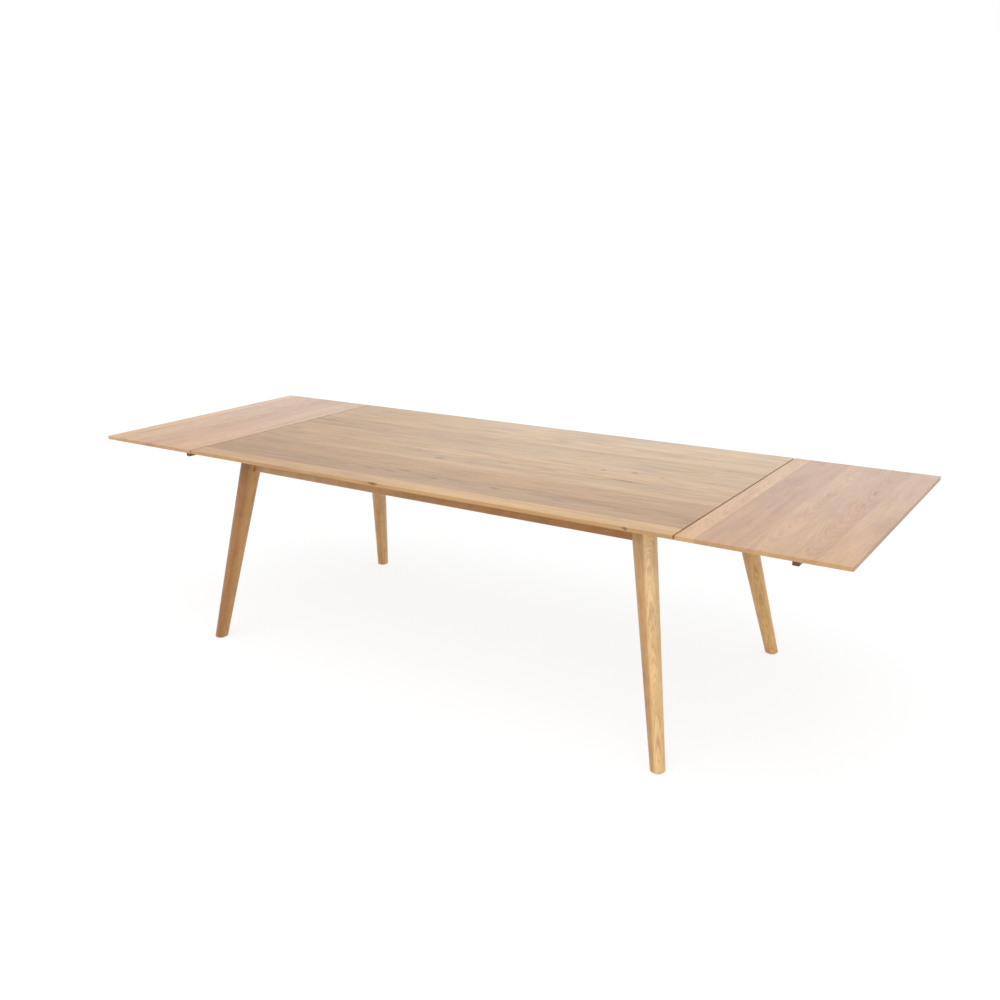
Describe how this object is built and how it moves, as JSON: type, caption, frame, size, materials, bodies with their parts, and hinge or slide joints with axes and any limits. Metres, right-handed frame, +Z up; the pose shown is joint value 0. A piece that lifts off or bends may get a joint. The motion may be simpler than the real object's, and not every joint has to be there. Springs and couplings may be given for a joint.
{
  "type": "extending dining table",
  "caption": "Rectangular oak dining table on splayed round tapered legs, with full-width end leaves that plug into the top and lie on drawn bearers.",
  "frame": {"origin": "on the floor, under the middle of the table top", "axes": "+X along the table towards the right leaf, +Y from front to back, +Z up"},
  "size_m": [3, 1.0178, 0.76],
  "materials": {
    "oak_top": "matt oiled oak, boards along the table",
    "oak_leaf": "matt oiled oak, boards across the table",
    "oak_leg": "matt oiled oak, turned",
    "oak_frame": "matt oiled oak",
    "oak_bearer": "matt waxed oak",
    "beech_dowel": "plain beech",
    "zinc_steel": "zinc plated",
    "glide_plastic": "matt grey-brown"
  },
  "bodies": {
    "table_frame": {"angle_brackets": "zinc_steel", "apron_back": "oak_frame", "apron_front": "oak_frame", "apron_left": "oak_frame", "apron_right": "oak_frame", "brace_screws": "zinc_steel", "bracket_screws": "zinc_steel", "corner_brace_back_left": "oak_frame", "corner_brace_back_right": "oak_frame", "corner_brace_front_left": "oak_frame", "corner_brace_front_right": "oak_frame", "cross_rail_centre": "oak_frame", "cross_rail_left": "oak_frame", "cross_rail_right": "oak_frame", "foot_glides": "glide_plastic", "hanger_bolts": "zinc_steel", "hanger_nuts": "zinc_steel", "hanger_washers": "zinc_steel", "leg_back_left": "oak_leg", "leg_back_right": "oak_leg", "leg_front_left": "oak_leg", "leg_front_right": "oak_leg", "table_top": "oak_top"},
    "drawn_bearer_front_left": {"bearer_front_left": "oak_bearer", "pull_block_front_left": "oak_bearer", "stop_pin_front_left": "beech_dowel", "pull_screws_front_left": "zinc_steel"},
    "drawn_bearer_back_left": {"bearer_back_left": "oak_bearer", "pull_block_back_left": "oak_bearer", "stop_pin_back_left": "beech_dowel", "pull_screws_back_left": "zinc_steel"},
    "drawn_bearer_front_right": {"bearer_front_right": "oak_bearer", "pull_block_front_right": "oak_bearer", "stop_pin_front_right": "beech_dowel", "pull_screws_front_right": "zinc_steel"},
    "drawn_bearer_back_right": {"bearer_back_right": "oak_bearer", "pull_block_back_right": "oak_bearer", "stop_pin_back_right": "beech_dowel", "pull_screws_back_right": "zinc_steel"},
    "end_leaf_left": {"leaf_panel_left": "oak_leaf", "leaf_dowels_left": "beech_dowel", "leaf_screws_left": "zinc_steel", "leaf_batten_front_left": "oak_frame", "leaf_batten_back_left": "oak_frame"},
    "end_leaf_right": {"leaf_panel_right": "oak_leaf", "leaf_dowels_right": "beech_dowel", "leaf_screws_right": "zinc_steel", "leaf_batten_front_right": "oak_frame", "leaf_batten_back_right": "oak_frame"}
  },
  "joints": [
    {"name": "bearer_front_left_slide", "type": "slide", "parent": "table_frame", "child": "drawn_bearer_front_left", "axis": [-1, 0, 0], "range_m": [-0.296, 0]},
    {"name": "bearer_back_left_slide", "type": "slide", "parent": "table_frame", "child": "drawn_bearer_back_left", "axis": [-1, 0, 0], "range_m": [-0.296, 0]},
    {"name": "bearer_front_right_slide", "type": "slide", "parent": "table_frame", "child": "drawn_bearer_front_right", "axis": [1, 0, 0], "range_m": [-0.296, 0]},
    {"name": "bearer_back_right_slide", "type": "slide", "parent": "table_frame", "child": "drawn_bearer_back_right", "axis": [1, 0, 0], "range_m": [-0.296, 0]},
    {"name": "leaf_left_slide", "type": "slide", "parent": "table_frame", "child": "end_leaf_left", "axis": [-1, 0, 0], "range_m": [0, 0.04]},
    {"name": "leaf_right_slide", "type": "slide", "parent": "table_frame", "child": "end_leaf_right", "axis": [1, 0, 0], "range_m": [0, 0.04]}
  ]
}
